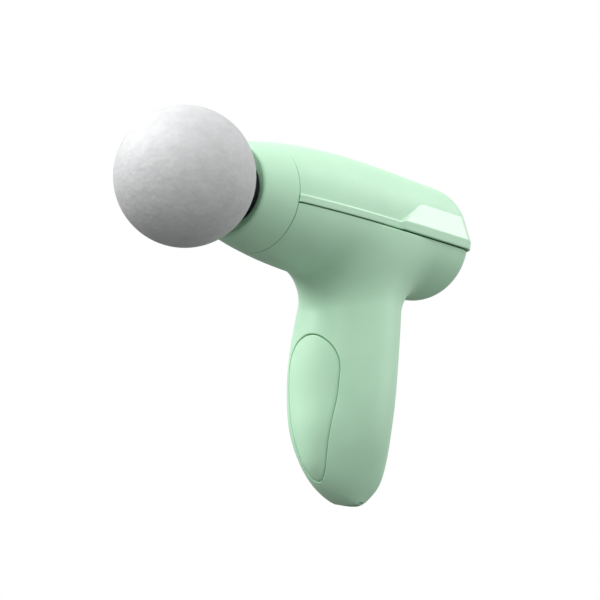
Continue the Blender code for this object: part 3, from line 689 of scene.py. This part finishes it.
def make_pad():
    """Rings of the pad's own outline: its back, its side, a rounded edge, then a crown that closes on its
    spine."""
    count = 320
    edge, crown = 0.75, 0.55

    def ring(inset, out):
        return on_front(pad_outline(count, -PAD_GAP - inset), out)

    back, front = pad_outline(count, -PAD_GAP), pad_outline(count, -PAD_GAP - edge)
    spine = to_spine(back)
    rings = [on_front(back + (spine - back) * t, -PAD_BACK) for t in (1.0, 0.5, 0.1)]
    rings += [ring(0.0, -PAD_BACK), ring(0.0, -0.8)]
    for angle in np.radians(np.linspace(0, 90, 8)):
        rings.append(ring(edge * (1 - np.cos(angle)), -0.62 + 0.62 * np.sin(angle)))
    for t in np.linspace(0, 1, 17)[1:]:
        rings.append(on_front(front + (spine - front) * t, crown * (1 - (1 - t) ** 2)))
    obj = piece("grip_pad", np.array(rings), grid_faces(len(rings), count, True), GRIP, "housing")
    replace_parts(obj, "front_grip_pad")


# ------------------------------------------------------------------------------------------------ top cover

def bent(before, corner, after, radius, steps):
    """Rows that round a corner between two rows: the parabola from one leg to the other."""
    start = corner + unit(before - corner) * radius
    end = corner + unit(after - corner) * radius
    t = np.linspace(0, 1, steps + 1)[:, None, None]
    return list((1 - t) ** 2 * start + 2 * t * (1 - t) * corner + t * t * end)


def ramp_rise(ramp):
    """Height along the ramp, from nought to one: straight, with a parabola at each end, the upper one
    longer."""
    low, high = RAMP_ROUND
    full = 1 - (low + high) / 2
    rise = np.where(ramp < low, ramp ** 2 / (2 * low), ramp - low / 2)
    return np.where(ramp > 1 - high, full - (1 - ramp) ** 2 / (2 * high), rise) / full


def with_lips(rows):
    """The rows turned into sections from front to rear, with a quarter round and a step into the shell at
    each end."""
    across = rows.transpose(1, 0, 2)
    outward = unit(across[0] * (0, 1, 1))
    inward = -unit(across[-1] * (0, 1, 1))
    ahead = np.array([1.0, 0, 0])
    front = [across[0] - LIP * (np.sin(a) * ahead + (1 - np.cos(a)) * outward) for a in ROUND[::-1]]
    rear = [across[-1] + LIP * (np.sin(a) * inward - (1 - np.cos(a)) * ahead) for a in ROUND]
    first, last = front[0] - COVER_STEP * outward, rear[-1] - COVER_STEP * ahead
    return np.concatenate([[first], front, across, rear, [last]])


def make_cover():
    """Sections across the barrel, row by row: the ledge, the band that stands proud of the skin, the bevel,
    then the dome up to its crest and the same again down the other side. The band and bevel widen behind
    the ramp."""
    # Stations along the barrel, closest together on the ramp: start, end and count of each stretch.
    stretches = ((LIP, 50, 56), (50, 76, 84), (76, 93, 20))
    stations = [np.linspace(start, end, count, endpoint=False) for start, end, count in stretches]
    stations = np.concatenate(stations + [np.linspace(93, BARREL_RUN - LIP, 44)])
    x, radius, nx, nr = on_meridian(stations)
    ramp = np.clip((x - RAMP_START) / (RAMP_END - RAMP_START), 0, 1)
    rise = ramp_rise(ramp)
    fade = smoothstep(REAR_START + 4, REAR_X - 0.5, x)
    shoulder = smoothstep(0.0, 0.12, ramp)
    out = (RAIL_OUT + (SHOULDER_OUT - RAIL_OUT) * shoulder) * (1 - fade)
    band = RAIL_TOP - 0.1 + (SHOULDER_BAND - RAIL_TOP) * shoulder
    bevel = RAIL_TOP + BEVEL_UP + (SHOULDER_TOP - RAIL_TOP - BEVEL_UP) * rise * (1 - 0.8 * fade)

    def at(z, away):
        across = np.sqrt(np.maximum(radius ** 2 - z ** 2, 0.01)) + away * nr
        return np.stack([x + away * nx, across, z + 0 * x], -1)

    bottom = COVER_Z + 0 * x
    ledge, foot, top, join = at(bottom, out - 1.6), at(bottom, out), at(band, out), at(bevel, 0 * x)
    first = np.arcsin(np.clip(bevel / radius, -1, 0.97))
    dome = []
    for t in np.linspace(0, 1, 41)[1:]:
        angle = first + (np.pi / 2 - first) * t
        dome.append(np.stack([x, radius * np.cos(angle), radius * np.sin(angle)], -1))
    small = np.full((len(x), 1), 0.22)
    wide = (0.16 + 0.3 * shoulder)[:, None]
    lower = bent(foot, top, join, wide, 4)
    upper = bent(top, join, dome[0], np.minimum(wide, 0.3), 4)
    # Rows across the bevel, which settle on to the round skin at the rear end.
    hug = fade[:, None]
    slope = []
    for t in np.linspace(0, 1, 12)[1:-1]:
        flat = lower[-1] + (upper[0] - lower[-1]) * t
        angle = np.arctan2(flat[:, 2], flat[:, 1])
        skin = np.stack([flat[:, 0], radius * np.cos(angle), radius * np.sin(angle)], -1)
        slope.append(flat + (skin - flat) * hug)
    start = [ledge] + bent(ledge, foot, top, small, 3) + [foot + (top - foot) * t for t in (0.35, 0.65)]
    half = np.array(start + lower + slope + upper + dome)
    whole = np.concatenate([half, half[-2::-1] * (1, -1, 1)])
    grid = with_lips(whole)
    faces = grid_faces(len(grid), len(whole), False)
    column = faces[:, 0] % len(whole)
    column = np.minimum(column, len(whole) - 2 - column)
    bevel_start = len(start) + 2
    # The bevel's faces, which take the lighter colour of the painted highlight.
    painted = (column >= bevel_start) & (column < bevel_start + len(slope) + 5)
    obj = piece("cover_shell", grid, faces, SHELL, "housing", merge=0.0005, second=PAINTED_HIGHLIGHT_BEVEL, painted=painted)
    walled(obj)
    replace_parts(obj, "top_cover")


# -------------------------------------------------------------------------------- collar, head and rear end

def make_nose():
    """The tapered collar with its shallow cone of a mouth, and the wiper seal inside it."""
    outside = [(18.0, 4.0), (18.0, -0.1), (20.35, -0.1), (20.1, -2.0), (19.4, -5.8), (18.4, -11.0),
               (17.6, -15.6), (16.3, -15.6), (15.2, -14.5), (11.6, -12.2), (11.6, -1.5), (15.8, -1.5),
               (15.8, 4.0), (18.0, 4.0)]
    radii = (0.2, 0.25, 0.5, 1.5, 1.5, 0.7, 0.6, 0.8, 0.6, 0.2, 0.2, 0.2)
    collar = revolved("collar_shell", rounded(outside, radii), SHELL, "housing", steps=240, gap=0.8)
    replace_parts(collar, "nose_collar")

    seal = rounded([(11.35, -2.2), (11.35, -7.6), (10.4, -8.2), (8.75, -7.0), (8.75, -6.2), (9.9, -5.4),
                    (9.9, -3.6), (8.75, -3.2), (8.75, -2.2), (11.35, -2.2)],
                   (0.2, 0.4, 0.3, 0.3, 0.5, 0.5, 0.3, 0.1))
    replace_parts(revolved("wiper_seal", seal, RUBBER, "housing"), "dust_seal")


def ball_outline():
    """Half section of the ball: a circle from its front to the flat at its back, then the hole for the
    stem."""
    start = math.acos((-16.0 - BALL_X) / BALL_R)
    turn = np.linspace(np.pi, start, 120)
    arc = np.stack([BALL_R * np.sin(turn), BALL_X + BALL_R * np.cos(turn)], -1)
    arc[0, 0] = 0.0
    return np.concatenate([arc[:-2], rounded([arc[-2], arc[-1], (7.9, -16.0), (7.9, -36.5), (0.0, -36.5)],
                                             (0.5, 0.3, 0.3))[1:]])


def make_head():
    """The stem with its groove, shoulder and neck, the plunger tube it pushes into, and the ball on its
    end."""
    stem = rounded([(0.0, 15.5), (5.2, 15.5), (6.25, 14.5), (6.25, 9.4), (5.1, 9.4), (5.1, 6.8),
                    (6.25, 6.8), (6.25, -12.75), (10.1, -12.75), (10.1, -15.5), (7.2, -15.5),
                    (7.2, -22.0), (7.6, -22.8), (7.6, -26.0), (7.2, -26.8), (7.2, -36.2), (0.0, -36.2)],
                   (0.5, 0.5, 0.2, 0.2, 0.2, 0.2, 0.3, 0.5, 0.4, 0.2, 0.4, 0.3, 0.3, 0.4, 0.5))
    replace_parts(revolved("stem", stem, SMOKE, "head", steps=96), "head_stem")

    tube = rounded([(0.0, 45.6), (3.0, 45.6), (3.0, 39.6), (8.0, 39.6), (8.5, 39.0), (8.5, -12.4),
                    (7.0, -12.4), (6.6, -12.0), (6.6, 17.5), (5.0, 18.5), (5.0, 30.0), (0.0, 30.0)],
                   (0.3, 0.3, 0.2, 0.3, 0.4, 0.2, 0.2, 0.5, 0.3, 0.3))
    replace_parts(revolved("plunger_tube", tube, ALUMINIUM, "piston", steps=96), "plunger")

    head = revolved("massage_ball", ball_outline(), FOAM, "head", steps=256, gap=0.9)
    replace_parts(head, "foam_ball")


def make_rear_end():
    """The bezel in the barrel's rear, the light ring inside it and the power button."""
    bezel = rounded([(8.3, 105.4), (9.0, 105.4), (9.0, 102.9), (11.2, 102.9), (11.2, 100.9), (7.6, 100.9),
                     (7.6, 105.4), (8.3, 105.4)], (0.3, 0.1, 0.1, 0.2, 0.1, 0.3))
    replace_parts(revolved("bezel_ring", bezel, SMOKE, "housing", steps=120), "rear_bezel")
    light = rounded([(6.95, 105.2), (7.3, 105.2), (7.3, 98.6), (6.6, 98.6), (6.6, 105.2), (6.95, 105.2)],
                    (0.15, 0.1, 0.1, 0.15))
    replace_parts(revolved("light_guide", light, DIFFUSER, "housing", steps=120), "light_ring")
    key = rounded([(0.0, 105.72), (3.6, 105.85), (5.6, 105.95), (6.3, 105.5), (6.3, 101.5), (2.2, 101.5),
                   (2.2, 99.95), (0.0, 99.95)], (1.5, 0.8, 0.5, 0.2, 0.2, 0.2))
    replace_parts(revolved("button_cap", key, MINT_KEY, "button", steps=120, gap=0.7), "power_button")


make_housing()
make_pad()
make_cover()
make_nose()
make_head()
make_rear_end()


# ---------------------------------------------------------------------------------- floor, light and camera

# Brightness of the room from below and from above and the height between them, the point at which the lamps
# look, and each lamp's direction, distance and side in metres, and watts.
ROOM_LOW, ROOM_HIGH, HORIZON = 0.23, 0.80, 0.15
LAMP_AIM = (-0.01, 0.0, 0.03)
LAMPS = (
    ("back_left", (-0.55, 0.65, 0.60), 1.3, 0.8, 11.0),
    ("upper_left", (-0.70, 0.12, 0.69), 1.3, 0.7, 4.2),
    ("right", (0.75, -0.66, 0.05), 1.4, 0.8, 2.5),
    ("left_front", (-1.0, -0.25, 0.35), 1.4, 0.8, 4.2),
    ("right_rear", (0.75, -0.29, 0.593), 1.4, 0.7, 2.7),
    ("high_front", (-0.3, -0.7, 0.65), 1.4, 0.8, 1.6),
)


def studio():
    """A pale floor well below the part and a pale room."""
    half, drop = 3.0, 0.30
    floor_z = CAD_BOX[0].z - drop
    mesh = bpy.data.meshes.new("floor")
    corners = [(x, y, floor_z) for x, y in ((-half, -half), (half, -half), (half, half), (-half, half))]
    mesh.from_pydata(corners, [], [(0, 1, 2, 3)])
    floor = bpy.data.objects.new("floor", mesh)
    bpy.context.scene.collection.objects.link(floor)
    pale = bpy.data.materials.new("pale_floor")
    pale.use_nodes = True
    pale.node_tree.nodes["Principled BSDF"].inputs["Base Color"].default_value = (0.86, 0.86, 0.86, 1)
    pale.node_tree.nodes["Principled BSDF"].inputs["Roughness"].default_value = 0.7
    mesh.materials.append(pale)
    floor.visible_diffuse = floor.visible_glossy = False

    world = bpy.data.worlds.new("room")
    bpy.context.scene.world = world
    world.use_nodes = True
    tree = world.node_tree
    room = tree.nodes["Background"]
    position = tree.nodes.new("ShaderNodeTexCoord")
    axes = tree.nodes.new("ShaderNodeSeparateXYZ")
    tree.links.new(position.outputs["Generated"], axes.inputs[0])
    strength = ranged(tree, axes.outputs["Z"], ROOM_LOW, ROOM_HIGH, -HORIZON, HORIZON)
    tree.links.new(strength, room.inputs["Strength"])
    sight = tree.nodes.new("ShaderNodeBackground")
    for background in (room, sight):
        background.inputs["Color"].default_value = (1, 1, 1, 1)
    path = tree.nodes.new("ShaderNodeLightPath")
    mix = tree.nodes.new("ShaderNodeMixShader")
    tree.links.new(path.outputs["Is Camera Ray"], mix.inputs[0])
    tree.links.new(room.outputs[0], mix.inputs[1])
    tree.links.new(sight.outputs[0], mix.inputs[2])
    tree.links.new(mix.outputs[0], tree.nodes["World Output"].inputs["Surface"])


def lamp(name, direction, distance, size, power):
    """A square soft lamp that looks at the part from a direction."""
    light = bpy.data.lights.new(name, "AREA")
    light.shape = "SQUARE"
    light.size = size
    light.energy = power
    obj = bpy.data.objects.new(name, light)
    way = Vector(direction).normalized()
    obj.location = Vector(LAMP_AIM) + way * distance
    obj.rotation_mode = "QUATERNION"
    obj.rotation_quaternion = way.to_track_quat("Z", "Y")
    obj.visible_camera = False
    bpy.context.scene.collection.objects.link(obj)


studio()
for name, direction, distance, size, power in LAMPS:
    lamp(name, direction, distance, size, power)


def photographer():
    """The camera, turned a little about its own line of sight."""
    azimuth, elevation, roll = math.radians(-49.32), math.radians(-8.49), math.radians(4.45)
    away, lens, width = 1.0207, 167.64, 36.0
    target = JOINT + np.array([28.11, 0.0, -32.81]) * MM
    back = np.array([math.sin(azimuth) * math.cos(elevation), -math.cos(azimuth) * math.cos(elevation),
                     math.sin(elevation)])
    right = unit(np.cross(-back, (0, 0, 1.0)))
    up = np.cross(right, -back)
    across = right * math.cos(roll) + up * math.sin(roll)
    rising = -right * math.sin(roll) + up * math.cos(roll)
    data = bpy.data.cameras.new("camera")
    data.lens, data.sensor_width = lens, width
    data.clip_start, data.clip_end = 0.05, 20.0
    camera = bpy.data.objects.new("camera", data)
    place = np.eye(4)
    place[:3, 0], place[:3, 1], place[:3, 2], place[:3, 3] = across, rising, back, target + back * away
    camera.matrix_world = Matrix(place.tolist())
    bpy.context.scene.collection.objects.link(camera)
    bpy.context.scene.camera = camera


photographer()
bpy.context.scene.view_settings.view_transform = "Standard"
